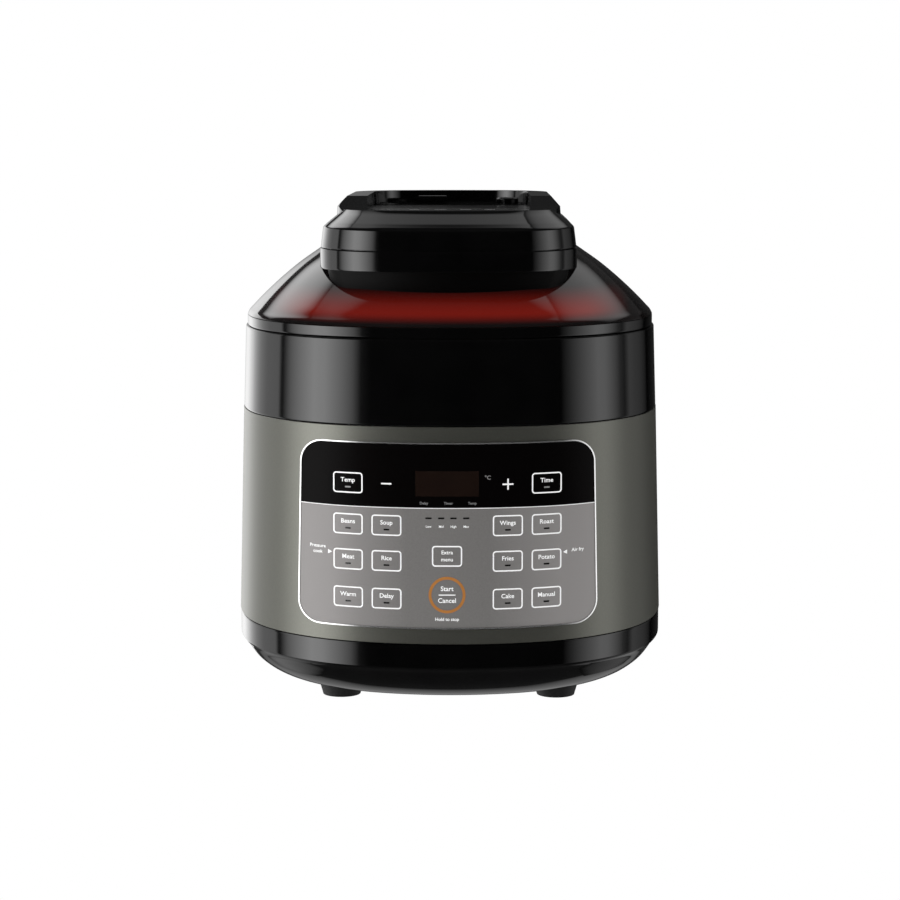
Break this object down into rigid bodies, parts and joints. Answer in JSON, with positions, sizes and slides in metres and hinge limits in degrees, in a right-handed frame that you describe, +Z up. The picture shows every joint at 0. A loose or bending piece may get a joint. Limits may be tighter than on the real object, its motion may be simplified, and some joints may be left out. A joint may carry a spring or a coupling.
{
  "type": "electric pressure cooker",
  "caption": "Countertop electric pressure cooker with a rear-hinged air-frying lid, curved touch panel, removable pot and basket.",
  "frame": {"origin": "middle of the bottom of the whole object, on the surface it stands on", "axes": "+Z up, the control panel faces -Y, the hinge is at +Y"},
  "size_m": [0.3352, 0.3502, 0.384],
  "materials": {
    "black_gloss": "high gloss",
    "black_matte": "matt",
    "foot_rubber": "matt",
    "wrap_metal": "satin metallic",
    "chrome_trim": "polished",
    "fascia": "printed, upper zone black",
    "top_print": "printed",
    "smoked_cover": "smoked gloss",
    "display": "smoked",
    "circuit_board": "solder mask",
    "spring_steel": "plain",
    "stainless": "brushed",
    "galvanised": "dull",
    "cast_aluminium": "cast",
    "element_sheath": "oxidised",
    "nonstick": "non-stick coated",
    "silicone": "soft",
    "red_glow": "lit diffuser",
    "clear_cup": "clear"
  },
  "bodies": {
    "root": {"base_shell": "black_gloss", "board_carrier": "black_matte", "board_standoffs": "black_matte", "bottom_cover": "black_matte", "collar": "black_gloss", "control_board": "circuit_board", "crisper_basket": "nonstick", "cup_rails": "black_matte", "display_module": "display", "foot_screws": "spring_steel", "front_left_foot": "foot_rubber", "front_right_foot": "foot_rubber", "heat_shield": "galvanised", "heater_element": "element_sheath", "heater_plate": "cast_aluminium", "hinge_bracket": "black_gloss", "hinge_pin": "spring_steel", "hinge_springs": "spring_steel", "inner_pot": "stainless", "lock_flange": "stainless", "outer_wrap": "wrap_metal", "panel_fascia": "fascia", "panel_trim": "chrome_trim", "power_board": "circuit_board", "power_inlet": "black_matte", "rear_left_foot": "foot_rubber", "rear_right_foot": "foot_rubber", "sensor_bracket": "spring_steel", "sensor_spring": "spring_steel", "touch_springs": "spring_steel"},
    "lid": {"lid_rim": "black_gloss", "lid_cover": "smoked_cover", "lid_liner": "stainless", "sealing_gasket": "silicone", "lid_heater": "element_sheath", "heater_guard": "stainless", "fan_motor": "galvanised", "lid_frame": "black_matte", "frame_screws": "spring_steel", "glow_ring": "red_glow", "head_base": "black_gloss", "head_cap": "black_gloss", "top_panel": "top_print", "lid_handle": "black_gloss", "hinge_arm": "black_gloss", "vent_pipe": "stainless", "valve_shield": "stainless"},
    "fan": {"fan_impeller": "stainless", "fan_shaft": "stainless"},
    "lock": {"lock_ring": "stainless", "lock_spider": "stainless"},
    "slider": {"lock_slider": "black_gloss"},
    "weight": {"pressure_weight": "stainless"},
    "button": {"release_button": "black_gloss"},
    "float": {"float_valve": "stainless", "float_gasket": "silicone"},
    "sensor": {"temperature_sensor": "cast_aluminium"},
    "cup": {"condensation_cup": "clear_cup"}
  },
  "joints": [
    {"name": "lid_hinge", "type": "hinge", "parent": "root", "child": "lid", "pos_m": [0, 0.1651, 0.268], "axis": [-1, 0, 0], "range_deg": [0, 80]},
    {"name": "lock_turn", "type": "hinge", "parent": "lid", "child": "lock", "pos_m": [0, -0.0069, 0.27], "axis": [0, 0, -1], "range_deg": [0, 25]},
    {"name": "slider_slide", "type": "slide", "parent": "lid", "child": "slider", "axis": [1, 0, 0], "range_m": [0, 0.0381]},
    {"name": "fan_spin", "type": "hinge", "parent": "lid", "child": "fan", "pos_m": [0, -0.0069, 0.31], "axis": [0, 0, 1], "continuous": true},
    {"name": "button_press", "type": "slide", "parent": "lid", "child": "button", "axis": [0, 0, -1], "range_m": [0, 0.003], "stiffness_N_per_m": 400, "springref_m": -0.001},
    {"name": "weight_lift", "type": "slide", "parent": "lid", "child": "weight", "axis": [0, 0, 1], "range_m": [0, 0.003]},
    {"name": "float_rise", "type": "slide", "parent": "lid", "child": "float", "axis": [0, 0, 1], "range_m": [0, 0.005]},
    {"name": "sensor_press", "type": "slide", "parent": "root", "child": "sensor", "axis": [0, 0, -1], "range_m": [0, 0.0025], "stiffness_N_per_m": 400, "springref_m": -0.001, "deforming": ["sensor_spring"]},
    {"name": "cup_slide", "type": "slide", "parent": "root", "child": "cup", "axis": [0, 1, 0], "range_m": [0, 0.03]}
  ],
  "couplings": [
    {"joint": "slider_slide", "follows": "lock_turn", "m_per_rad": 0.087319},
    {"joint": "weight_lift", "follows": "button_press", "ratio": 1}
  ]
}
